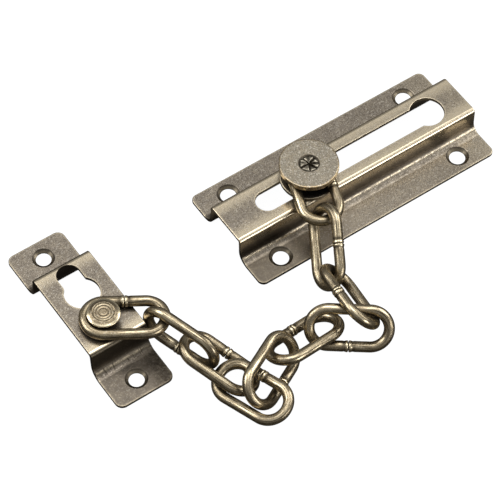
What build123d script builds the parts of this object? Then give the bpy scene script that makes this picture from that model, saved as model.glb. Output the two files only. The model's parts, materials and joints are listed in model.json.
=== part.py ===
from build123d import *

import os
from collections import namedtuple

# Door chain guard: a slotted track plate, a keeper plate and ten wire links between them.
# Frame: origin at the middle of the track plate, on the face that goes against the door.
# +X runs along the slot towards its keyhole, +Y across the plate, +Z out of the plate.

# ---------------------------------------------------------------- driving dimensions (mm)

# pressed sheet, and the width of its tumbled edges
sheet = 1.0
edge_break = 0.2

# track plate: a hat section with a slotted top
track_length = 80.0
track_width = 35.0
track_top = 9.1
track_shoulder = 7.2
track_foot = 7.5
track_shoulder_bend = 1.35
track_foot_bend = 2.8
track_corner = 1.9
slot_closed_end = -29.5
keyhole_x = 28.4

# keeper plate: a bridge with a short keyhole, and a post for the chain
keeper_x = -84.0
keeper_width = 17.5
keeper_length = 57.1
keeper_top = 9.35
keeper_front_shoulder = 15.3
keeper_front_foot = 15.9
keeper_back_shoulder = 13.9
keeper_back_foot = 14.6
keeper_shoulder_bend = 1.5
keeper_foot_bend = 3.0
keeper_corner = 2.2
keeper_hole_y = 2.8
keeper_slot_end_y = 9.5

# keyholes, the same punch in both plates: a hole that the knob's foot passes, and a slot
keyhole_radius = 4.9
keyhole_notch = 0.5
slot_width = 6.7
slot_edge_break = 0.12
cut_depth = 3.0

# screw holes, a little smaller in the keeper
screw_sink_angle = 105
track_screw_hole_radius = 2.3
track_screw_sink_radius = 3.35
track_screw_spacing_x = 60.6
track_screw_spacing_y = 25.3
keeper_screw_hole_radius = 2.15
keeper_screw_sink_radius = 3.15
keeper_screw_spacing = 46.2

# chain links: bent wire, closed by a butt seam in one leg
wire_radius = 1.5
link_bend = 5.1
link_half_straight = 5.55
seam_gap = 0.1
seam_break = 0.25

# keeper post: a rivet with a turned head, closed under the plate
post_y = -7.9
post_spigot_radius = 2.1
post_neck_radius = 2.9
post_head_radius = 4.5
post_head_base = 12.8
post_head_top = 13.9
post_rim_height = 0.5
post_face_radius = 2.9
post_ring_radii = (2.0, 1.1)
post_ring_step = 0.1
post_tail_radius = 3.4
post_tail_height = 0.9
post_tail_edge = 0.4

# knob: a disc on a headed rivet, with a washer under the first link
knob_x = -12.5
knob_radius = 8.3
knob_top = 16.0
knob_thickness = 1.7
knob_edge = 0.25
washer_radius = 8.0
washer_thickness = 1.25
washer_edge = 0.2
stem_radius = 3.0
foot_radius = 4.5
foot_thickness = 1.3
running_gap = 0.05

# the rivet's upper end, spread into a sunk seat by a star punch
spigot_radius = 2.2
seat_radius = 2.95
seat_angle = 90
seat_depth = 0.6
star_inset = 0.1
star_rays = 7
star_ray_start = 0.7
star_ray_end = 2.6
star_ray_width = 0.8
star_ray_depth = 0.35
star_ray_taper = 30

# ---------------------------------------------------------------- resting shape of the chain

# x, y, z: the link's centre (mm). heading turns it about +Z, climb lifts its leading end and
# roll turns it about its own length (degrees). seam names the leg with the butt seam: +1 is
# the leg on the left along the heading and -1 the other one.
# Link 1 is on the keeper post and link 10 round the knob's stem.
LinkRest = namedtuple("LinkRest", "x y z heading climb roll seam")
chain = [
    LinkRest(-79.5, -11.0, 11.0, -32, -1, 0, +1),
    LinkRest(-69.9, -23.2, 8.4, -70, -5, 86, -1),
    LinkRest(-64.9, -33.6, 5.1, -66, -15, -20, +1),
    LinkRest(-62.4, -45.3, 4.5, -72, 6, 15, +1),
    LinkRest(-55.0, -43.3, 5.8, 28, -5, 48, -1),
    LinkRest(-41.6, -39.2, 4.1, 4, -5, -23, +1),
    LinkRest(-30.4, -44.0, 5.5, -36, -1, 49, -1),
    LinkRest(-25.6, -37.4, 8.2, 83, -7, 49, +1),
    LinkRest(-21.4, -21.2, 8.5, 61, 26, 122, +1),
    LinkRest(-14.5, -5.6, 12.1, 71, 3, 0, -1),
]

# ---------------------------------------------------------------- pressed plates


def hat_section(plane, side_points, top, foot_bend, shoulder_bend):
    """A pressed strip's section: its upper surface, closed by an offset through the sheet.

    side_points are the six places across the strip, from its front edge to its back edge.
    """
    heights = (sheet, sheet, top, top, sheet, sheet)
    bends = (foot_bend, shoulder_bend, shoulder_bend, foot_bend)
    with BuildSketch(plane) as section:
        with BuildLine():
            FilletPolyline(*zip(side_points, heights), radius=bends)
            offset(amount=sheet, side=Side.RIGHT)
        make_face()
    return section.sketch


def rim_edges(strip):
    """Edges round a strip's cut outline, without the upright ones at its corners."""
    walls = strip.faces().filter_by(Axis.X) + strip.faces().filter_by(Axis.Y)
    uprights = strip.edges().filter_by(Axis.Z)
    corner_arcs = strip.edges().filter_by(GeomType.CIRCLE).filter_by(Plane.XY)
    return corner_arcs + [edge for edge in walls.edges() if edge not in uprights]


def punched_edges(strip):
    """Edges of the punched opening in a strip's flat top."""
    top = strip.faces().filter_by(Axis.Z).group_by(Axis.Z)[-1]
    return top.face().inner_wires().edges()


def keyhole(plane, slot_length):
    """A keyhole's outline: a round hole at the plane's origin, and a slot out along its X."""
    with BuildSketch(plane) as outline:
        Circle(keyhole_radius)
        with Locations((slot_length / 2, 0)):
            SlotCenterToCenter(slot_length, slot_width)
        notches = outline.vertices().sort_by(Axis.X)[:2]
        fillet(notches, keyhole_notch)
    return outline.sketch


track_section = hat_section(
    Plane.YZ.offset(-track_length / 2),
    (-track_width / 2, -track_foot, -track_shoulder, track_shoulder, track_foot, track_width / 2),
    track_top,
    track_foot_bend,
    track_shoulder_bend,
)

track_keyhole = keyhole(
    Plane(origin=(keyhole_x, 0, track_top), x_dir=(-1, 0, 0)),
    keyhole_x - slot_closed_end - slot_width / 2,
)

with BuildPart() as track_plate:
    extrude(track_section, amount=track_length)
    fillet(track_plate.edges().filter_by(Axis.Z), track_corner)
    fillet(rim_edges(track_plate), edge_break)
    extrude(track_keyhole, amount=-cut_depth, mode=Mode.SUBTRACT)
    fillet(punched_edges(track_plate), slot_edge_break)
    with Locations(Plane.XY.offset(sheet)):
        with GridLocations(track_screw_spacing_x, track_screw_spacing_y, 2, 2):
            CounterSinkHole(
                track_screw_hole_radius,
                track_screw_sink_radius,
                depth=2 * sheet,
                counter_sink_angle=screw_sink_angle,
            )

keeper_section = hat_section(
    Plane.YZ.offset(keeper_x - keeper_width / 2),
    (
        -keeper_length / 2,
        -keeper_front_foot,
        -keeper_front_shoulder,
        keeper_back_shoulder,
        keeper_back_foot,
        keeper_length / 2,
    ),
    keeper_top,
    keeper_foot_bend,
    keeper_shoulder_bend,
)

keeper_keyhole = keyhole(
    Plane(origin=(keeper_x, keeper_hole_y, keeper_top), x_dir=(0, 1, 0)),
    keeper_slot_end_y - keeper_hole_y,
)

with BuildPart() as keeper_plate:
    extrude(keeper_section, amount=keeper_width)
    fillet(keeper_plate.edges().filter_by(Axis.Z), keeper_corner)
    fillet(rim_edges(keeper_plate), edge_break)
    extrude(keeper_keyhole, amount=-cut_depth, mode=Mode.SUBTRACT)
    with Locations((keeper_x, post_y, keeper_top)):
        Hole(post_spigot_radius, depth=2 * sheet)
    with Locations(Plane((keeper_x, 0, sheet))):
        with GridLocations(0, keeper_screw_spacing, 1, 2):
            CounterSinkHole(
                keeper_screw_hole_radius,
                keeper_screw_sink_radius,
                depth=2 * sheet,
                counter_sink_angle=screw_sink_angle,
            )

# ---------------------------------------------------------------- turned and riveted pieces


def upright_section(x, y):
    """A drawing plane through an upright axis: its first direction is the radius."""
    return Plane(origin=(x, y, 0), x_dir=(1, 0, 0), z_dir=(0, -1, 0))


post_axis = Axis((keeper_x, post_y, 0), (0, 0, 1))
knob_axis = Axis((knob_x, 0, 0), (0, 0, 1))
keeper_underside = keeper_top - sheet
track_underside = track_top - sheet
washer_base = track_top + running_gap
knob_base = knob_top - knob_thickness
foot_top = track_underside - running_gap

with BuildPart() as keeper_post:
    with BuildSketch(upright_section(keeper_x, post_y)):
        with BuildLine():
            Polyline(
                (0, keeper_underside - post_tail_height),
                (post_tail_radius - post_tail_edge, keeper_underside - post_tail_height),
                (post_tail_radius, keeper_underside - post_tail_height + post_tail_edge),
                (post_tail_radius, keeper_underside),
                (post_spigot_radius, keeper_underside),
                (post_spigot_radius, keeper_top),
                (post_neck_radius, keeper_top),
                (post_neck_radius, post_head_base),
                (post_head_radius, post_head_base),
                (post_head_radius, post_head_base + post_rim_height),
                (post_face_radius, post_head_top - post_ring_step),
                (post_ring_radii[0], post_head_top - post_ring_step),
                (post_ring_radii[0], post_head_top - 2 * post_ring_step),
                (post_ring_radii[1], post_head_top - post_ring_step),
                (post_ring_radii[1], post_head_top),
                (0, post_head_top),
                close=True,
            )
        make_face()
    revolve(axis=post_axis)

with BuildPart() as knob_head:
    with BuildSketch(Plane((knob_x, 0, knob_base))):
        Circle(knob_radius)
    extrude(amount=knob_thickness)
    fillet(knob_head.edges(), knob_edge)
    with Locations((knob_x, 0, knob_top)):
        CounterSinkHole(spigot_radius, seat_radius, counter_sink_angle=seat_angle)

with BuildPart() as knob_rivet:
    with BuildSketch(upright_section(knob_x, 0)):
        with BuildLine():
            Polyline(
                (0, foot_top - foot_thickness),
                (foot_radius, foot_top - foot_thickness),
                (foot_radius, foot_top),
                (stem_radius, foot_top),
                (stem_radius, knob_base),
                (spigot_radius, knob_base),
                (spigot_radius, knob_top - seat_depth),
                (seat_radius - star_inset, knob_top - star_inset),
                (0, knob_top - star_inset),
                close=True,
            )
        make_face()
    revolve(axis=knob_axis)
    with BuildSketch(Plane((knob_x, 0, knob_top - star_inset))):
        with PolarLocations((star_ray_start + star_ray_end) / 2, star_rays):
            Rectangle(star_ray_end - star_ray_start, star_ray_width)
    extrude(amount=-star_ray_depth, taper=star_ray_taper, mode=Mode.SUBTRACT)

with BuildPart() as slide_washer:
    with BuildSketch(Plane((knob_x, 0, washer_base))):
        Circle(washer_radius)
    extrude(amount=washer_thickness)
    fillet(slide_washer.edges(), washer_edge)
    with Locations((knob_x, 0, washer_base + washer_thickness)):
        Hole(stem_radius + running_gap, depth=washer_thickness)

# ---------------------------------------------------------------- chain links


def link_plane(rest):
    """The plane of a link's centre line, with its first direction along the heading."""
    turn = (rest.roll, -rest.climb, rest.heading)
    return Plane(Location((rest.x, rest.y, rest.z), turn, Extrinsic.XYZ))


def link_centre_line(rest):
    """The bent wire's centre line, from one side of the butt seam round to the other."""
    half = link_half_straight
    seam_leg = rest.seam * link_bend
    seam_half = seam_gap / 2
    with BuildLine(link_plane(rest)) as centre_line:
        Line((seam_half, seam_leg), (half, seam_leg))
        ThreePointArc((half, seam_leg), (half + link_bend, 0), (half, -seam_leg))
        Line((half, -seam_leg), (-half, -seam_leg))
        ThreePointArc((-half, -seam_leg), (-half - link_bend, 0), (-half, seam_leg))
        Line((-half, seam_leg), (-seam_half, seam_leg))
    return centre_line.line


pieces = {
    "track_plate": track_plate,
    "keeper_plate": keeper_plate,
    "keeper_post": keeper_post,
    "knob_head": knob_head,
    "knob_rivet": knob_rivet,
    "slide_washer": slide_washer,
}

for number, rest in enumerate(chain, start=1):
    centre_line = link_centre_line(rest)
    with BuildPart() as chain_link:
        with BuildSketch(Plane(centre_line ^ 0)):
            Circle(wire_radius)
        sweep(path=centre_line)
        chamfer(chain_link.faces().filter_by(GeomType.PLANE).edges(), seam_break)
    pieces[f"chain_link_{number:02d}"] = chain_link

# ---------------------------------------------------------------- files

os.makedirs("parts", exist_ok=True)
for name, piece in pieces.items():
    piece.part.label = name
    export_step(piece.part, f"parts/{name}.step")
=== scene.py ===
import json
import math

import bpy
import numpy as np
from mathutils import Matrix, Vector, noise


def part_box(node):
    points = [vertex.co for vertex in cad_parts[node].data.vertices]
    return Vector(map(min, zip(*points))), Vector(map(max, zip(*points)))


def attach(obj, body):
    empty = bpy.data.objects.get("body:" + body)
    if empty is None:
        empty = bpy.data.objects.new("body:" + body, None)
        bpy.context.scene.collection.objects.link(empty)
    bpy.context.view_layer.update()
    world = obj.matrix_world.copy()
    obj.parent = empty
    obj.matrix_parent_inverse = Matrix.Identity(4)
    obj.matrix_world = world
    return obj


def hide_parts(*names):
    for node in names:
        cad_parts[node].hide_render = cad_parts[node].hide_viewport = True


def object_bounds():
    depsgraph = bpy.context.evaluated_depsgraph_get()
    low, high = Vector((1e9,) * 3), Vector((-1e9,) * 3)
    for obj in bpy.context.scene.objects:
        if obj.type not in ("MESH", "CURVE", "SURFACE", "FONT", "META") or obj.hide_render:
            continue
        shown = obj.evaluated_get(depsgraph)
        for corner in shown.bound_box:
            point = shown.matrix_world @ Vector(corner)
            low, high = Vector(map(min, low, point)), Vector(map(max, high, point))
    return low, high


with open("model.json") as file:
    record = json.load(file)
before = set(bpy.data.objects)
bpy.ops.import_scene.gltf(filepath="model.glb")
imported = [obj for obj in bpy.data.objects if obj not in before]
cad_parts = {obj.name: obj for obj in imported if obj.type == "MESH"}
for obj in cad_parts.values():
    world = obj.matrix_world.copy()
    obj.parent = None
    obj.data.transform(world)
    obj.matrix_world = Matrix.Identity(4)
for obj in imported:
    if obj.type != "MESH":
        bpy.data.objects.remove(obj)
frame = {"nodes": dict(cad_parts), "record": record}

cad_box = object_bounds()

# Door chain guard in antique bronze on a white studio floor. Lengths are metres in the row's
# own frame: +X along the track's slot, +Y across it, +Z out of the door.

MM = 0.001

# ------------------------------------------------------------------ camera

CAMERA_AZIMUTH = math.radians(-35.83)
CAMERA_ELEVATION = math.radians(55.56)
CAMERA_ROLL = math.radians(1.37)
CAMERA_DISTANCE = 637.2 * MM
CAMERA_TARGET = Vector((-35.7 * MM, -5.7 * MM, 0))
CAMERA_LENS = 168.0
CAMERA_SENSOR = 36.0

scene = bpy.context.scene


def place_camera():
    """The camera on a sphere round its target, turned by the picture's small roll."""
    level = math.cos(CAMERA_ELEVATION)
    back = Vector((
        math.sin(CAMERA_AZIMUTH) * level,
        -math.cos(CAMERA_AZIMUTH) * level,
        math.sin(CAMERA_ELEVATION),
    ))
    right = Vector((math.cos(CAMERA_AZIMUTH), math.sin(CAMERA_AZIMUTH), 0))
    up = back.cross(right)
    axes = Matrix((right, up, back)).transposed()
    data = bpy.data.cameras.new("camera")
    data.lens = CAMERA_LENS
    data.sensor_width = CAMERA_SENSOR
    data.clip_start = 1 * MM
    camera = bpy.data.objects.new("camera", data)
    turned = axes @ Matrix.Rotation(CAMERA_ROLL, 3, "Z")
    camera.matrix_world = Matrix.Translation(CAMERA_TARGET + back * CAMERA_DISTANCE) @ turned.to_4x4()
    scene.collection.objects.link(camera)
    scene.camera = camera


place_camera()

# ------------------------------------------------------------------ node helpers


class Nodes:
    """Short calls for building one material's or the world's node tree."""

    def __init__(self, tree):
        self.tree = tree
        tree.nodes.clear()

    def add(self, kind, inputs=None, **settings):
        """A new node, with its settings, and its inputs set to values or linked to sockets."""
        made = self.tree.nodes.new("ShaderNode" + kind)
        for key, value in settings.items():
            setattr(made, key, value)
        for key, value in (inputs or {}).items():
            if isinstance(value, bpy.types.NodeSocket):
                self.tree.links.new(value, made.inputs[key])
            else:
                made.inputs[key].default_value = value
        return made

    def math(self, operation, a, b=0.0, clamp=False):
        return self.add("Math", {0: a, 1: b}, operation=operation, use_clamp=clamp).outputs[0]

    def ramp(self, value, low, high, out_low=0.0, out_high=1.0):
        """A smooth step of value from low to high."""
        inputs = {"Value": value, 1: low, 2: high, 3: out_low, 4: out_high}
        return self.add("MapRange", inputs, interpolation_type="SMOOTHSTEP").outputs[0]

    def mix(self, factor, a, b):
        """Colours a and b mixed by factor."""
        inputs = {"Factor": factor, 6: a, 7: b}
        return self.add("Mix", inputs, data_type="RGBA").outputs[2]

    def openness(self, reach, **settings):
        """How open the surroundings of a point are within reach, from 0 shut to 1 open."""
        found = self.add("AmbientOcclusion", {"Distance": reach}, samples=OPENNESS_SAMPLES, **settings)
        return found.outputs["AO"]

    def noise(self, place, scale, detail=3.0, roughness=0.5, stretch=(1, 1, 1)):
        """Noise with scale features per metre, at place, drawn out along an axis by stretch."""
        mapped = self.add("Mapping", {"Vector": place, "Scale": stretch}).outputs[0]
        inputs = {"Vector": mapped, "Scale": scale, "Detail": detail, "Roughness": roughness}
        return self.add("TexNoise", inputs, noise_dimensions="3D").outputs["Fac"]


PER_MM = 1 / MM


def linear(red, green, blue):
    """A colour given on the 0-255 screen scale, as linear RGBA."""
    channels = [value / 255 for value in (red, green, blue)]
    return (*[c / 12.92 if c <= 0.04045 else ((c + 0.055) / 1.055) ** 2.4 for c in channels], 1)


# the dark patina colour, which also serves for painted shade
PATINA_AND_SHADE = linear(42, 36, 28)
PLATE_DULL = linear(148, 138, 125)
# the rubbed plate colour, which also serves for the painted highlight at the feet of the webs
PLATE_RUBBED_AND_HIGHLIGHT = linear(236, 220, 190)
WIRE_DULL = linear(173, 157, 128)
WIRE_RUBBED = linear(242, 227, 192)
KNOB_DULL = linear(177, 168, 151)
KNOB_RUBBED = linear(206, 180, 134)
STAR_DULL = linear(120, 113, 100)
STAR_RUBBED = linear(172, 164, 147)
POST_DULL = linear(156, 140, 114)
FLECK = linear(240, 233, 218)

# noise features to a metre: fine speckle, light flecks, rubbed blotches, wide clouds, wire streaks
SPECKLE_SCALE = 2.8 * PER_MM
FLECK_SCALE = 2.6 * PER_MM
BLOTCH_SCALE = 0.6 * PER_MM
CLOUD_SCALE = 0.11 * PER_MM
STREAK_SCALE = 2.6 * PER_MM
STREAK_STRETCH = (0.06, 1, 1)

# how far round a point its edges and hollows are looked for
EDGE_REACH = 0.8 * MM
HOLLOW_REACH = 4 * MM
OPENNESS_SAMPLES = 12

# steps are (from, to) or (from, to, share at from, share at to), in the units of what they step
EDGE_STEP = (0.93, 0.55)
EDGE_BROKEN = (0.3, 0.6, 0.55, 0.95)
HOLLOW_STEP = (0.85, 0.25)
HOLLOW_DARK = 0.8
HOLLOW_KEEPS_RUB = (0.0, 0.8, 1.0, 0.0)
BLOTCH_RUB = (0.35, 0.7, 0.0, 0.22)
SPECKLE_RUB = (0.35, 0.6)
CLOUD_DARK = (0.35, 0.65, 0.0, 0.12)
PIT_STEP = (0.56, 0.34)
WORN_SMOOTH = (0.2, 0.7, 1.0, 0.3)
FLECK_STEP = (0.56, 0.7)
FLECK_ON_DARK = (0.5, 0.1, 0.1, 1.0)
STREAK_DARK = (0.5, 0.38, 0.0, 0.85)
STREAK_RUB = (0.52, 0.66, 0.0, 0.8)

SPECKLE_MIDDLE = 0.5
SPECKLE_ROUGHNESS = 0.3
DARK_ROUGHNESS = 0.2
RUB_ROUGHNESS = -0.1
GRIT_STRENGTH = 0.7
GRIT_HEIGHT = 0.03 * MM

# a link's butt seam: polished bulbs on both sides of a dark joint, with dark scale beyond them
WIRE_PLACE = "wire_place"
SEAM_DISTANCE = "seam_distance"
SEAM_POLISH = (1.0 * MM, 0.6 * MM)
SEAM_JOINT = (0.1 * MM, 0.2 * MM)
SEAM_RUB = 0.35
SEAM_SCALE = (2.6 * MM, 1.2 * MM)
SEAM_SCALE_BROKEN = (0.35, 0.6, 0.25, 0.85)


def antique_bronze(name, dull, rubbed, roughness, grain, share=None, streaks=False):
    """Antique bronze plating on tumbled metal: a speckled dull ground, rubbed bright on its edges
    and dark in its hollows, with patina there and painted shade where other parts come close.

    share(n, place) gives two sockets, how much is rubbed and how much is dark, for a piece whose
    rubbing, marks and painted shade depend on where it is. streaks adds drawing lines and a butt seam
    to a wire."""
    material = bpy.data.materials.new(name)
    material.use_nodes = True
    n = Nodes(material.node_tree)
    place = n.add("TexCoord").outputs["Object"]
    speckle = n.noise(place, SPECKLE_SCALE, detail=3, roughness=0.8)
    fleck = n.noise(place, FLECK_SCALE, detail=1)
    cloud = n.noise(place, CLOUD_SCALE, detail=4)
    blotch = n.noise(place, BLOTCH_SCALE, detail=4, roughness=0.6)

    edge = n.ramp(n.openness(EDGE_REACH, inside=True, only_local=True), *EDGE_STEP)
    # openness over a wide reach darkens the hollows with patina, and also paints shade where other
    # parts come close
    hollow = n.ramp(n.openness(HOLLOW_REACH), *HOLLOW_STEP)

    rub_and_highlight = n.ramp(blotch, *BLOTCH_RUB)
    rub_and_highlight = n.math("MULTIPLY", rub_and_highlight, n.ramp(speckle, *SPECKLE_RUB))
    rub_and_highlight = n.math("ADD", rub_and_highlight, n.math("MULTIPLY", edge, n.ramp(blotch, *EDGE_BROKEN)))
    dark = n.math("MULTIPLY", hollow, HOLLOW_DARK)
    if share:
        more, less = share(n, place)
        # a share's rubbed part may hold a painted highlight as well as wear
        rub_and_highlight = n.math("ADD", rub_and_highlight, more)
        dark = n.math("MAXIMUM", dark, less)
    if streaks:
        along = n.add("Attribute", attribute_name=WIRE_PLACE).outputs["Vector"]
        lines = n.noise(along, STREAK_SCALE, detail=4, roughness=0.7, stretch=STREAK_STRETCH)
        seam = n.add("Attribute", attribute_name=SEAM_DISTANCE).outputs["Fac"]
        polished = n.math("MULTIPLY", n.ramp(seam, *SEAM_POLISH), n.ramp(seam, *SEAM_JOINT))
        scale = n.math("MULTIPLY", n.ramp(seam, *SEAM_SCALE), n.ramp(blotch, *SEAM_SCALE_BROKEN))
        dark = n.math("MAXIMUM", dark, n.ramp(lines, *STREAK_DARK))
        dark = n.math("MAXIMUM", dark, scale)
        dark = n.math("MULTIPLY", dark, n.math("SUBTRACT", 1.0, polished))
        rub_and_highlight = n.math("ADD", rub_and_highlight, n.ramp(lines, *STREAK_RUB))
        rub_and_highlight = n.math("ADD", rub_and_highlight, n.math("MULTIPLY", polished, SEAM_RUB))
    rub_and_highlight = n.math("MULTIPLY", rub_and_highlight, n.ramp(hollow, *HOLLOW_KEEPS_RUB), clamp=True)

    base = n.mix(n.ramp(cloud, *CLOUD_DARK), dull, PATINA_AND_SHADE)
    base = n.mix(rub_and_highlight, base, rubbed)
    worn = n.ramp(rub_and_highlight, *WORN_SMOOTH)
    pits = n.math("MULTIPLY", n.math("MULTIPLY", n.ramp(speckle, *PIT_STEP), worn), grain)
    # the dark shares bring in the patina colour: patina in the hollows, and painted shade where a
    # share paints it
    base = n.mix(n.math("MAXIMUM", dark, pits), base, PATINA_AND_SHADE)
    light = n.math("MULTIPLY", n.ramp(fleck, *FLECK_STEP), grain)
    base = n.mix(n.math("MULTIPLY", light, n.ramp(dark, *FLECK_ON_DARK)), base, FLECK)

    rough = n.math("SUBTRACT", speckle, SPECKLE_MIDDLE)
    rough = n.math("ADD", n.math("MULTIPLY", rough, SPECKLE_ROUGHNESS), roughness)
    rough = n.math("ADD", rough, n.math("MULTIPLY", dark, DARK_ROUGHNESS))
    rough = n.math("ADD", rough, n.math("MULTIPLY", rub_and_highlight, RUB_ROUGHNESS))

    grit = n.math("MULTIPLY", worn, GRIT_STRENGTH * grain)
    bump = n.add("Bump", {"Strength": grit, "Distance": GRIT_HEIGHT, "Height": speckle})
    shader = {"Base Color": base, "Metallic": 1.0, "Roughness": rough, "Normal": bump.outputs[0]}
    shader = n.add("BsdfPrincipled", shader)
    n.add("OutputMaterial", {"Surface": shader.outputs[0]})
    return material


# pressed plates: rubbed shoulders; at the feet of the webs, a painted highlight line broken up like
# wear, a broken darker band beyond it, and scratches there on the keeper; painted shade on the webs,
# in the countersinks, on the front flanges and along the back shoulders; lighter towards the keyhole's
# end
SHEET = 1.0 * MM
BROKEN_SCALE = 1.3 * PER_MM
SHOULDER_REACH = 6.0 * MM
SHOULDER_RUB = 1.1
SHOULDER_HEIGHT = (0.5, 0.9)
# the painted highlight line at the feet of the webs: its reach, the heights it keeps to, and its
# breaks
FOOT_HIGHLIGHT_REACH = 0.45 * MM
FOOT_HEIGHT = (3.2 * MM, 2.2 * MM)
FOOT_HIGHLIGHT_BROKEN = (0.42, 0.56, 0.1, 1.2)
# a broken darker band on the flange just beyond each foot
FOOT_BAND_REACH = 1.3 * MM
FOOT_BAND_BROKEN = (0.6, 0.4, 0.15, 0.6)
KEYHOLE_END = (26 * MM, 38 * MM, 0.0, 0.22)
# painted shade on the webs fades along x
WEB_SHADE_FADE = (-20 * MM, 30 * MM, 1.0, 0.6)
# painted shade in the countersinks, picked out by the slope and depth of their cones
SINK_INNER = (0.3, 0.5)
SINK_OUTER = (0.95, 0.85)
SINK_DEPTH = (SHEET, 0.9 * SHEET, 0.0, 0.78)
# the front flanges: how far they reach from the foot, and the breaks in the painted shade on them
FRONT_EDGE = 2 * MM
FRONT_BROKEN = (0.35, 0.65, 1.12, 0.88)
# a painted line of shade along the back shoulder's outer edge
BACK_LINE = 0.3 * MM
BACK_LINE_SHADE = 0.75
BACK_LINE_HEIGHT = (0.85, 0.95)
SCRATCH_SCALE = 2.4 * PER_MM
SCRATCH_STRETCH = (1, 0.1, 0.1)
SCRATCH_STEP = (0.43, 0.38)
SCRATCH_REACH = 2.4 * MM

TRACK_WEAR_AND_SHADE = {
    "node": "track_plate",
    "shoulders": (-7.2 * MM, 7.2 * MM),
    "feet": (-8.3 * MM, 8.3 * MM),
    "foot_bands": (-9.3 * MM, 9.3 * MM),
    # the web entries and the front entries below paint shade on the web and on the front flange
    "web_facing": (0.85, 0.5),
    "web_height": (0.3, 0.75),
    "web_shade": (0.92, 0.15),
    "front_rub": 0.1,
    "front_fade": (-34 * MM, 4 * MM),
    "front_shade": (0.5, 0.0),
    "scratches": 0.0,
}
KEEPER_WEAR_AND_SHADE = {
    "node": "keeper_plate",
    "shoulders": (-15.3 * MM, 13.9 * MM),
    "feet": (-16.7 * MM, 15.4 * MM),
    "foot_bands": (-17.8 * MM, 16.5 * MM),
    # the web entries and the front entries below paint shade on the web and on the front flange
    "web_facing": (0.98, 0.8),
    "web_height": (0.1, 0.6),
    "web_shade": (0.7, 0.94),
    "front_rub": 0.0,
    "front_fade": (-84 * MM, -77 * MM),
    "front_shade": (0.37, 0.8),
    "scratches": 0.95,
}


def nearness(n, coordinate, lines, reach):
    """1 on any of the lines across a coordinate, and 0 farther than reach from all of them."""
    near = 0.0
    for line in lines:
        away = n.math("ABSOLUTE", n.math("SUBTRACT", coordinate, line))
        near = n.math("MAXIMUM", n.ramp(away, reach, 0.0), near)
    return near


def plate_share(wear_and_shade):
    """Rubbed and dark shares of a pressed plate, with its own bends and strengths of rubbing, marks
    and painted shade.
    """
    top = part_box(wear_and_shade["node"])[1].z
    front_foot = wear_and_shade["feet"][0]
    back_shoulder = wear_and_shade["shoulders"][1]

    def share(n, place):
        x, y, z = n.add("SeparateXYZ", {0: place}).outputs
        normal = n.add("SeparateXYZ", {0: n.add("NewGeometry").outputs["Normal"]})
        facing = n.math("ABSOLUTE", normal.outputs["Z"])
        height = n.math("DIVIDE", z, top)
        low_down = n.ramp(z, *FOOT_HEIGHT)
        broken = n.noise(place, BROKEN_SCALE, detail=5, roughness=0.75)
        front = n.ramp(y, front_foot, front_foot - FRONT_EDGE)

        rub_and_highlight = n.math("MULTIPLY", nearness(n, y, wear_and_shade["shoulders"], SHOULDER_REACH), SHOULDER_RUB)
        rub_and_highlight = n.math("MULTIPLY", rub_and_highlight, n.ramp(height, *SHOULDER_HEIGHT))
        # a painted highlight along each foot line, broken up like wear
        foot = n.math("MULTIPLY", nearness(n, y, wear_and_shade["feet"], FOOT_HIGHLIGHT_REACH), low_down)
        rub_and_highlight = n.math("ADD", rub_and_highlight, n.math("MULTIPLY", foot, n.ramp(broken, *FOOT_HIGHLIGHT_BROKEN)))
        rub_and_highlight = n.math("ADD", rub_and_highlight, n.math("MULTIPLY", front, wear_and_shade["front_rub"]))
        rub_and_highlight = n.math("ADD", rub_and_highlight, n.ramp(x, *KEYHOLE_END))

        # painted shade on the webs, by how upright and how high the surface is
        web = n.math("MULTIPLY", n.ramp(facing, *wear_and_shade["web_facing"]), n.ramp(x, *WEB_SHADE_FADE))
        web = n.math("MULTIPLY", web, n.ramp(height, *wear_and_shade["web_height"], *wear_and_shade["web_shade"]))
        # a broken darker band on the flange just beyond each foot
        foot_band = n.math("MULTIPLY", nearness(n, y, wear_and_shade["foot_bands"], FOOT_BAND_REACH), low_down)
        foot_band = n.math("MULTIPLY", foot_band, n.ramp(broken, *FOOT_BAND_BROKEN))
        # painted shade in the countersinks
        sink = n.math("MULTIPLY", n.ramp(facing, *SINK_INNER), n.ramp(facing, *SINK_OUTER))
        sink = n.math("MULTIPLY", sink, n.ramp(z, *SINK_DEPTH))
        # painted shade on the front flange: a shadow under the chain on the keeper, and a dimmer left
        # end on the track
        flange_shade = n.math("MULTIPLY", front, n.ramp(broken, *FRONT_BROKEN))
        flange_shade = n.math("MULTIPLY", flange_shade, n.ramp(x, *wear_and_shade["front_fade"], *wear_and_shade["front_shade"]))
        # a painted line of shade along the back shoulder's outer edge
        back = n.ramp(y, back_shoulder - BACK_LINE, back_shoulder + BACK_LINE, 0.0, BACK_LINE_SHADE)
        back = n.math("MULTIPLY", back, n.ramp(height, *BACK_LINE_HEIGHT))
        lines = n.noise(place, SCRATCH_SCALE, detail=2, stretch=SCRATCH_STRETCH)
        scratch = n.ramp(lines, *SCRATCH_STEP, 0.0, wear_and_shade["scratches"])
        scratch = n.math("MULTIPLY", scratch, nearness(n, y, (front_foot,), SCRATCH_REACH))
        dark = web
        for mark in (foot_band, sink, flange_shade, back, scratch):
            dark = n.math("MAXIMUM", dark, mark)
        return rub_and_highlight, dark

    return share


def around_axis(n, place, node):
    """Sockets for the distance from a turned node's upright axis, the angle round it, and the
    depth below the node's top."""
    low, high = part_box(node)
    axes = n.add("SeparateXYZ", {0: place})
    x = n.math("SUBTRACT", axes.outputs["X"], (low.x + high.x) / 2)
    y = n.math("SUBTRACT", axes.outputs["Y"], (low.y + high.y) / 2)
    square = n.math("ADD", n.math("MULTIPLY", x, x), n.math("MULTIPLY", y, y))
    depth = n.math("SUBTRACT", high.z, axes.outputs["Z"])
    return n.math("SQRT", square), n.math("ARCTAN2", y, x), depth


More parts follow.
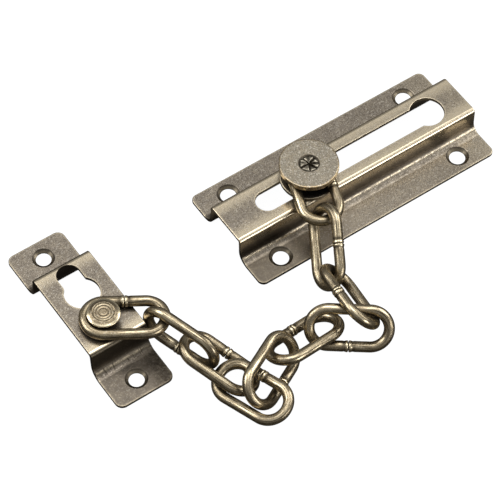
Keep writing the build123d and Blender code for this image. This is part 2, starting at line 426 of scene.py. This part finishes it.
RIM_WIDTH = 0.45 * MM
RIM_RUB = 0.35
LIP_DARK = (3.15 * MM, 2.9 * MM, 0.0, 0.8)
CRACK_REACH = (4.1 * MM, 3.3 * MM, 0.0, 0.85)
CRACK_STEP = (0.38, 0.32)
CRACK_SPREAD = 1.7


def knob_share(n, place):
    """Rubbed and dark shares of the knob's head: a brassy rim, a dark lip round the seat of its
    rivet, and fine cracks beyond the lip."""
    low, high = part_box("knob_head")
    radius = (high.x - low.x) / 2
    distance, angle = around_axis(n, place, "knob_head")[:2]
    rim = n.ramp(distance, radius - RIM_WIDTH, radius, 0.0, RIM_RUB)
    around = n.add("CombineXYZ", {0: n.math("MULTIPLY", angle, CRACK_SPREAD)}).outputs[0]
    cracks = n.ramp(n.noise(around, 1.0, detail=4, roughness=0.8), *CRACK_STEP)
    cracks = n.math("MULTIPLY", cracks, n.ramp(distance, *CRACK_REACH))
    return rim, n.math("MAXIMUM", cracks, n.ramp(distance, *LIP_DARK))


STAR_DARK = (0.1 * MM, 0.34 * MM)
# painted shade on the star's rolled rim, strongest towards its front and left-hand side
STAR_RIM_SHADE = (2.0 * MM, 2.7 * MM, 0.0, 0.9)
STAR_SHADE_ANGLE = math.radians(-150)
STAR_SHADE_STEP = (-0.2, 0.6)


def star_share(n, place):
    """Rubbed and dark shares of the star-punched end: dark below its highest parts, and painted shade
    on its rolled-down rim, strongest on the front and left-hand side."""
    distance, angle, depth = around_axis(n, place, "knob_rivet")
    turned_away = n.math("COSINE", n.math("SUBTRACT", angle, STAR_SHADE_ANGLE))
    turned_away = n.ramp(turned_away, *STAR_SHADE_STEP)
    edge = n.math("MULTIPLY", n.ramp(distance, *STAR_RIM_SHADE), turned_away)
    return 0.0, n.math("MAXIMUM", n.ramp(depth, *STAR_DARK), edge)


RING_DARK = (0.02 * MM, 0.08 * MM)
RING_BROKEN = (0.35, 0.6, 0.0, 0.5)
BEVEL_DEPTH = (0.25 * MM, 0.5 * MM)
BEVEL_BROKEN = (0.4, 0.6, 0.0, 0.5)
POST_BROKEN_SCALE = 1.1 * PER_MM


def post_share(n, place):
    """Rubbed and dark shares of the post's head: rubbed on its bevel, dark in its turned rings."""
    depth = around_axis(n, place, "keeper_post")[2]
    broken = n.noise(place, POST_BROKEN_SCALE, detail=4, roughness=0.7)
    on_bevel = n.ramp(depth, *BEVEL_DEPTH)
    bevel = n.math("MULTIPLY", on_bevel, n.ramp(broken, *BEVEL_BROKEN))
    rings = n.math("MULTIPLY", n.ramp(depth, *RING_DARK), n.math("SUBTRACT", 1.0, on_bevel))
    return bevel, n.math("MULTIPLY", rings, n.ramp(broken, *RING_BROKEN))


PLATE_LOOK = {"dull": PLATE_DULL, "rubbed": PLATE_RUBBED_AND_HIGHLIGHT, "roughness": 0.3, "grain": 0.36}
track_finish = antique_bronze("antique_track", share=plate_share(TRACK_WEAR_AND_SHADE), **PLATE_LOOK)
keeper_finish = antique_bronze("antique_keeper", share=plate_share(KEEPER_WEAR_AND_SHADE), **PLATE_LOOK)
wire_finish = antique_bronze(
    "antique_wire", WIRE_DULL, WIRE_RUBBED, roughness=0.3, grain=0.25, streaks=True
)
knob_finish = antique_bronze(
    "antique_knob", KNOB_DULL, KNOB_RUBBED, roughness=0.34, grain=0.6, share=knob_share
)
washer_finish = antique_bronze("antique_washer", PLATE_DULL, WIRE_RUBBED, roughness=0.34, grain=0.3)
star_finish = antique_bronze(
    "antique_star", STAR_DULL, STAR_RUBBED, roughness=0.3, grain=0.2, share=star_share
)
post_finish = antique_bronze(
    "antique_post", POST_DULL, WIRE_RUBBED, roughness=0.28, grain=0.35, share=post_share
)

for name, finish in {"track_plate": track_finish, "keeper_plate": keeper_finish}.items():
    for surface in frame["nodes"][name].material_slots:
        surface.material = finish

# ------------------------------------------------------------------ mesh helpers


def add_piece(name, vertices, faces, finish, body, replaced):
    """A smooth-shaded mesh that rides on a body and stands for a CAD node."""
    mesh = bpy.data.meshes.new(name)
    mesh.from_pydata(vertices, [], faces)
    mesh.shade_smooth()
    mesh.materials.append(finish)
    piece = bpy.data.objects.new(name, mesh)
    scene.collection.objects.link(piece)
    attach(piece, body)
    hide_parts(replaced)
    return piece


def ring_faces(rings, around, closed=False):
    """Quads between neighbouring rings of around points each, and back to the first if closed."""
    faces = []
    for ring in range(rings if closed else rings - 1):
        low = ring * around
        high = (ring + 1) % rings * around
        for step in range(around):
            after = (step + 1) % around
            faces.append((low + step, low + after, high + after, high + step))
    return faces


def dent(point, size, depth):
    """How far the surface is knocked in at a point: smooth bumps of the given size."""
    return depth * (0.5 + 0.5 * noise.noise(Vector(point) / size))


# ------------------------------------------------------------------ chain links

ALONG_WIRE = 0.99
WIRE_AROUND = 40
WIRE_STEP = 0.35 * MM
SEAM_FINE_STEP = 0.05 * MM
SEAM_FINE_LENGTH = 1.8 * MM
SEAM_GAP = 0.1 * MM
SEAM_EDGE = 0.26 * MM
BEAD_PLACE = 0.4 * MM
BEAD_WIDTH = 0.42 * MM
BEAD_RISE = 0.11 * MM
GROOVE_PLACE = 1.15 * MM
GROOVE_WIDTH = 0.3 * MM
GROOVE_DEPTH = 0.07 * MM
WIRE_DENT_SIZE = 2.2 * MM
WIRE_DENT_DEPTH = 0.035 * MM


def link_frame(node):
    """A CAD link's middle, its half sizes, and axes: long, wide (towards its seam) and thin."""
    mesh = node.data
    centres = np.array([face.center for face in mesh.polygons])
    normals = np.array([face.normal for face in mesh.polygons])
    areas = np.array([face.area for face in mesh.polygons])
    points = np.array([vertex.co for vertex in mesh.vertices])
    offsets = centres - np.average(centres, axis=0, weights=areas)
    spread = (offsets * areas[:, None]).T @ offsets
    thin, wide, long = np.linalg.eigh(spread)[1].T
    axes = np.array((long, wide, thin))
    low = (points @ axes.T).min(0)
    high = (points @ axes.T).max(0)
    middle = (low + high) / 2
    half = (high - low) / 2
    local = centres @ axes.T - middle
    seam_ends = (np.abs(normals @ long) > ALONG_WIRE) & (np.abs(local[:, 0]) < half[2] / 2)
    if local[seam_ends, 1].mean() < 0:
        axes[1] = -axes[1]
        middle[1] = -middle[1]
    axes[2] = np.cross(axes[0], axes[1])
    heights = points @ axes[2]
    middle[2] = heights.min() / 2 + heights.max() / 2
    return middle @ axes, half, axes


def link_stations(length):
    """Distances along the wire from its seam, close together near the seam."""
    fine = np.arange(SEAM_GAP / 2, SEAM_FINE_LENGTH, SEAM_FINE_STEP)
    count = round((length - 2 * SEAM_FINE_LENGTH) / WIRE_STEP)
    coarse = np.linspace(SEAM_FINE_LENGTH, length - SEAM_FINE_LENGTH, count)
    return np.concatenate((fine, coarse, length - fine[::-1]))


def seam_profile(distance, radius):
    """The wire's radius at a distance from its butt seam: a rounded end, a bead and a groove."""
    bead = BEAD_RISE * np.exp(-(((distance - BEAD_PLACE) / BEAD_WIDTH) ** 2))
    groove = GROOVE_DEPTH * np.exp(-(((distance - GROOVE_PLACE) / GROOVE_WIDTH) ** 2))
    depth = np.clip(1 - (distance - SEAM_GAP / 2) / SEAM_EDGE, 0, 1)
    rounded = SEAM_EDGE * (1 - np.sqrt(1 - depth**2))
    return radius + bead - groove - rounded


def link_path(distance, half_straight, bend):
    """The point and outward direction of the stadium centre line, from the seam leg's middle."""
    arc = math.pi * bend
    if distance < half_straight:
        return (distance, bend), (0, 1)
    distance -= half_straight
    if distance < arc:
        turn = distance / bend
        outward = (math.sin(turn), math.cos(turn))
        return (half_straight + bend * outward[0], bend * outward[1]), outward
    distance -= arc
    if distance < 2 * half_straight:
        return (half_straight - distance, -bend), (0, -1)
    distance -= 2 * half_straight
    if distance < arc:
        turn = distance / bend
        outward = (-math.sin(turn), -math.cos(turn))
        return (bend * outward[0] - half_straight, bend * outward[1]), outward
    return (distance - arc - half_straight, bend), (0, 1)


def chain_link(name, body):
    """A wire link with slight dents, in the place and size of its CAD node."""
    middle, half, axes = link_frame(frame["nodes"][name])
    radius = half[2]
    bend = half[1] - radius
    half_straight = half[0] - half[1]
    length = 4 * half_straight + 2 * math.pi * bend
    vertices = []
    places = []
    seams = []
    for distance in link_stations(length):
        (along, across), outward = link_path(distance, half_straight, bend)
        centre = np.array((along, across, 0))
        reach = seam_profile(min(distance, length - distance), radius)
        for step in range(WIRE_AROUND):
            angle = 2 * math.pi * step / WIRE_AROUND
            side = math.cos(angle)
            local = centre + reach * np.array((side * outward[0], side * outward[1], math.sin(angle)))
            point = middle + local @ axes
            inward = (centre - local) @ axes / reach
            vertices.append(point + inward * dent(point, WIRE_DENT_SIZE, WIRE_DENT_DEPTH))
            places.append((distance, reach * side, reach * math.sin(angle)))
            seams.append(min(distance, length - distance))
    rings = len(vertices) // WIRE_AROUND
    faces = ring_faces(rings, WIRE_AROUND)
    faces.append(tuple(reversed(range(WIRE_AROUND))))
    faces.append(tuple(range(len(vertices) - WIRE_AROUND, len(vertices))))
    piece = add_piece("wire_" + name[-2:], vertices, faces, wire_finish, body, name)
    where = piece.data.attributes.new(WIRE_PLACE, "FLOAT_VECTOR", "POINT")
    where.data.foreach_set("vector", np.ravel(places))
    seam = piece.data.attributes.new(SEAM_DISTANCE, "FLOAT", "POINT")
    seam.data.foreach_set("value", seams)


for body, nodes in frame["record"]["behaviour"]["bodies"].items():
    for name in nodes:
        if name.startswith("chain_link"):
            chain_link(name, body)

# ------------------------------------------------------------------ turned pieces

TURN_STEPS = 160
CORNER_STEPS = 5
CORNER_SUPPORT = 0.08 * MM
TURN_DENT_SIZE = 3.0 * MM
TURN_DENT_DEPTH = 0.03 * MM


def rounded(corners):
    """A profile through corners (r, z, rounding), each corner an arc with a support point beside
    it, so that the flats between them stay flat when shaded smooth."""
    profile = []
    count = len(corners)
    for index, (r, z, rounding) in enumerate(corners):
        corner = np.array((r, z))
        if rounding == 0:
            profile.append(corner)
            continue
        before = np.array(corners[index - 1][:2]) - corner
        after = np.array(corners[(index + 1) % count][:2]) - corner
        before /= np.linalg.norm(before)
        after /= np.linalg.norm(after)
        profile.append(corner + before * (rounding + CORNER_SUPPORT))
        for step in range(CORNER_STEPS + 1):
            t = step / CORNER_STEPS
            pull = rounding * ((1 - t) ** 2 * before + t**2 * after)
            profile.append(corner + pull)
        profile.append(corner + after * (rounding + CORNER_SUPPORT))
    return profile


def turned(profile, x, y, closed=False, lift=None):
    """Vertices and faces of a profile turned round an upright axis at (x, y). An open profile
    starts and ends on the axis. lift(r, z, angle) moves a point up."""
    rings = [(r, z) for r, z in profile if closed or r > 0]
    vertices = []
    for r, z in rings:
        for step in range(TURN_STEPS):
            angle = 2 * math.pi * step / TURN_STEPS
            place = (x + r * math.cos(angle), y + r * math.sin(angle), z)
            knock = 1 - dent(place, TURN_DENT_SIZE, TURN_DENT_DEPTH) / max(r, TURN_DENT_SIZE)
            rise = lift(r, z, angle) if lift else 0
            vertices.append((x + (place[0] - x) * knock, y + (place[1] - y) * knock, z + rise))
    faces = ring_faces(len(rings), TURN_STEPS, closed)
    if not closed:
        last = (len(rings) - 1) * TURN_STEPS
        for (r, z), low, turn in ((profile[0], 0, False), (profile[-1], last, True)):
            centre = len(vertices)
            vertices.append((x, y, z + (lift(r, z, 0) if lift else 0)))
            for step in range(TURN_STEPS):
                pair = (low + step, low + (step + 1) % TURN_STEPS)
                faces.append((centre, *pair) if turn else (centre, *reversed(pair)))
    return vertices, faces


def centre_and_radius(node):
    """A turned CAD node's axis, outer radius and height range."""
    low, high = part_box(node)
    return (low.x + high.x) / 2, (low.y + high.y) / 2, (high.x - low.x) / 2, low.z, high.z


KNOB_EDGE = 0.35 * MM
SEAT_RADIUS = 2.95 * MM
SEAT_LIP = 0.12 * MM
SPIGOT_RADIUS = 2.2 * MM


def knob_head():
    """A disc with a sunk seat for the rivet's end."""
    x, y, radius, base, top = centre_and_radius("knob_head")
    profile = rounded([
        (SPIGOT_RADIUS, base, 0),
        (radius, base, KNOB_EDGE),
        (radius, top, KNOB_EDGE),
        (SEAT_RADIUS, top, SEAT_LIP),
        (SPIGOT_RADIUS, top - (SEAT_RADIUS - SPIGOT_RADIUS), 0),
    ])
    vertices, faces = turned(profile, x, y, closed=True)
    add_piece("knob_disc", vertices, faces, knob_finish, "knob", "knob_head")


STEM_RADIUS = 3.0 * MM
FOOT_THICKNESS = 1.3 * MM
FOOT_EDGE = 0.3 * MM
PETAL_RINGS = 34
PETAL_RADIUS = 2.86 * MM
PETAL_SEAT = 0.6 * MM
# the grooves between the petals: the angle of each in degrees, and its strength
PETAL_EDGES = {20: 0.8, 62: 0.6, 100: 1.0, 128: 0.5, 178: 1.2, 243: 0.9, 291: 1.3, 335: 0.7}
PETAL_GROOVE = 0.3 * MM
PETAL_GROOVE_DEPTH = 0.42 * MM
PETAL_GROOVE_FADE = 0.5
PETAL_ROLL = 0.8 * MM
PETAL_ROLL_DEPTH = 0.42 * MM
PETAL_UNEVEN = 0.22 * MM
PETAL_UNEVEN_SCALE = 1.3
PETAL_TILT = 0.16 * MM


def petal_lift(r, z, angle):
    """How far the star-punched end lies below its highest points: grooves between its petals, and
    a rim rolled down into the seat."""
    groove = 0
    nearest = math.pi
    for degrees, strength in PETAL_EDGES.items():
        turn = (angle - math.radians(degrees) + math.pi) % (2 * math.pi) - math.pi
        nearest = min(nearest, abs(turn))
        groove = max(groove, strength * math.exp(-((abs(turn) * r / PETAL_GROOVE) ** 2)))
    groove *= PETAL_GROOVE_DEPTH * (1 - PETAL_GROOVE_FADE * r / PETAL_RADIUS)
    roll = max(0, 1 - (PETAL_RADIUS - r) / PETAL_ROLL)
    around = Vector((math.cos(angle), math.sin(angle), r / PETAL_RADIUS))
    uneven = PETAL_UNEVEN * (noise.noise(around * PETAL_UNEVEN_SCALE) - 0.5)
    return min(0, uneven + PETAL_TILT * nearest - groove - PETAL_ROLL_DEPTH * roll**2)


def knob_rivet():
    """A foot under the slot, a stem, and an end spread by a star punch into petals."""
    x, y, foot, base, top = centre_and_radius("knob_rivet")
    head_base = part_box("knob_head")[0].z
    sides = rounded([
        (0, base, 0),
        (foot, base, FOOT_EDGE),
        (foot, base + FOOT_THICKNESS, FOOT_EDGE),
        (STEM_RADIUS, base + FOOT_THICKNESS, 0),
        (STEM_RADIUS, head_base, 0),
        (SPIGOT_RADIUS, head_base, 0),
        (SPIGOT_RADIUS, top - PETAL_SEAT, 0),
    ])
    star = [(PETAL_RADIUS * (1 - ring / PETAL_RINGS), top) for ring in range(PETAL_RINGS + 1)]

    def lift(r, z, angle):
        return petal_lift(r, z, angle) if z == top else 0

    vertices, faces = turned(sides + star, x, y, lift=lift)
    add_piece("star_rivet", vertices, faces, star_finish, "knob", "knob_rivet")


WASHER_EDGE = 0.25 * MM
WASHER_PLAY = 0.05 * MM


def slide_washer():
    """A disc round the knob's stem."""
    x, y, radius, base, top = centre_and_radius("slide_washer")
    bore = STEM_RADIUS + WASHER_PLAY
    profile = rounded([
        (bore, base, 0),
        (radius, base, WASHER_EDGE),
        (radius, top, WASHER_EDGE),
        (bore, top, 0),
    ])
    vertices, faces = turned(profile, x, y, closed=True)
    add_piece("washer_disc", vertices, faces, washer_finish, "slider", "slide_washer")


POST_NECK_RADIUS = 2.9 * MM
POST_SPIGOT_RADIUS = 2.1 * MM
POST_TAIL_RADIUS = 3.4 * MM
POST_TAIL_HEIGHT = 0.9 * MM
POST_TAIL_EDGE = 0.4 * MM
POST_HEAD_HEIGHT = 1.1 * MM
POST_RIM_HEIGHT = 0.5 * MM
POST_RIM_EDGE = 0.18 * MM
POST_FACE_RADIUS = 2.9 * MM
POST_FACE_EDGE = 0.3 * MM
POST_RING_RADII = (2.1 * MM, 1.2 * MM)
POST_RING_WIDTH = 0.22 * MM
POST_RING_DEPTH = 0.06 * MM
POST_FACE_STEP = POST_RING_WIDTH / 4


def ring_drop(r):
    """How deep the turned rings are at a radius of the post's face."""
    shares = [math.exp(-(((r - ring) / POST_RING_WIDTH) ** 2)) for ring in POST_RING_RADII]
    return POST_RING_DEPTH * sum(shares)


def keeper_post():
    """A turned head with rings on its face, on a neck, with a tail under the plate."""
    x, y, radius, base, top = centre_and_radius("keeper_post")
    plate_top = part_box("keeper_plate")[1].z
    tail_top = base + POST_TAIL_HEIGHT
    head_base = top - POST_HEAD_HEIGHT
    sides = rounded([
        (0, base, 0),
        (POST_TAIL_RADIUS, base, POST_TAIL_EDGE),
        (POST_TAIL_RADIUS, tail_top, 0),
        (POST_SPIGOT_RADIUS, tail_top, 0),
        (POST_SPIGOT_RADIUS, plate_top, 0),
        (POST_NECK_RADIUS, plate_top, 0),
        (POST_NECK_RADIUS, head_base, 0),
        (radius, head_base, POST_RIM_EDGE),
        (radius, head_base + POST_RIM_HEIGHT, POST_RIM_EDGE),
        (POST_FACE_RADIUS, top, POST_FACE_EDGE),
    ])
    face_start = POST_FACE_RADIUS - POST_FACE_EDGE - 2 * CORNER_SUPPORT
    face = [(r, top) for r in np.arange(face_start, 0, -POST_FACE_STEP)] + [(0, top)]

    def lift(r, z, angle):
        return -ring_drop(r) if z == top else 0

    vertices, faces = turned(sides + face, x, y, lift=lift)
    add_piece("post_rivet", vertices, faces, post_finish, "keeper", "keeper_post")


knob_head()
knob_rivet()
slide_washer()
keeper_post()

# ------------------------------------------------------------------ studio

WHITE = (1, 1, 1, 1)
FLOOR_HALF = 3.0
FLOOR_GAP = 0.05 * MM
FLOOR_GLOW = 0.98
FLOOR_PAPER = (0.12, 0.12, 0.12, 1)
FLOOR_REFLECTED = (0.065, 0.06, 0.052, 1)


def studio_floor():
    """A white floor that shows only a trace of shadow, and is dim in the metal's reflections."""
    mesh = bpy.data.meshes.new("floor")
    height = cad_box[0].z - FLOOR_GAP
    corners = [
        (-FLOOR_HALF, -FLOOR_HALF, height),
        (FLOOR_HALF, -FLOOR_HALF, height),
        (FLOOR_HALF, FLOOR_HALF, height),
        (-FLOOR_HALF, FLOOR_HALF, height),
    ]
    mesh.from_pydata(corners, [], [(0, 1, 2, 3)])
    floor = bpy.data.objects.new("floor", mesh)
    scene.collection.objects.link(floor)
    material = bpy.data.materials.new("floor_paper")
    material.use_nodes = True
    n = Nodes(material.node_tree)
    glow = n.add("Emission", {"Color": WHITE, "Strength": FLOOR_GLOW}).outputs[0]
    paper = n.add("BsdfDiffuse", {"Color": FLOOR_PAPER}).outputs[0]
    seen = n.add("AddShader", {0: glow, 1: paper}).outputs[0]
    dim = n.add("Emission", {"Color": FLOOR_REFLECTED, "Strength": 1.0}).outputs[0]
    camera_ray = n.add("LightPath").outputs["Is Camera Ray"]
    surface = n.add("MixShader", {0: camera_ray, 1: dim, 2: seen}).outputs[0]
    n.add("OutputMaterial", {"Surface": surface})
    mesh.materials.append(material)


def softbox(name, azimuth, elevation, distance, width, height, power):
    """A soft rectangular light aimed at the middle of the object."""
    azimuth = math.radians(azimuth)
    elevation = math.radians(elevation)
    data = bpy.data.lights.new(name, "AREA")
    data.shape = "RECTANGLE"
    data.size = width
    data.size_y = height
    data.energy = power
    light = bpy.data.objects.new(name, data)
    level = math.cos(elevation)
    toward = Vector((math.sin(azimuth) * level, -math.cos(azimuth) * level, math.sin(elevation)))
    light.location = CAMERA_TARGET + toward * distance
    light.rotation_euler = toward.to_track_quat("Z", "Y").to_euler()
    scene.collection.objects.link(light)


SKY_UP = (0.5, 1.0)
SKY_BRIGHTNESS = (0.22, 0.75)


def studio_world():
    """White surroundings to the camera, and a soft tent, brighter overhead, to the metal."""
    world = bpy.data.worlds.new("studio")
    world.use_nodes = True
    n = Nodes(world.node_tree)
    direction = n.add("TexCoord").outputs["Generated"]
    up = n.add("SeparateXYZ", {0: direction}).outputs["Z"]
    brightness = n.ramp(up, *SKY_UP, *SKY_BRIGHTNESS)
    camera_ray = n.add("LightPath").outputs["Is Camera Ray"]
    brightness = n.math("MAXIMUM", brightness, camera_ray)
    surround = n.add("Background", {"Color": WHITE, "Strength": brightness})
    n.add("OutputWorld", {"Surface": surround.outputs[0]})
    scene.world = world


# azimuth and elevation in degrees, distance, width and height in metres, power in watts
SOFTBOXES = {
    "overhead": (140, 80, 2.0, 1.2, 1.2, 10),
    "front_strip": (20, 17, 2.0, 1.2, 0.7, 11),
    "right_box": (75, 38, 2.0, 1.3, 1.0, 15),
    "left_box": (-130, 42, 2.0, 1.3, 1.0, 15),
}

studio_floor()
studio_world()
for name, setting in SOFTBOXES.items():
    softbox(name, *setting)
scene.view_settings.view_transform = "Standard"
scene.view_settings.look = "None"
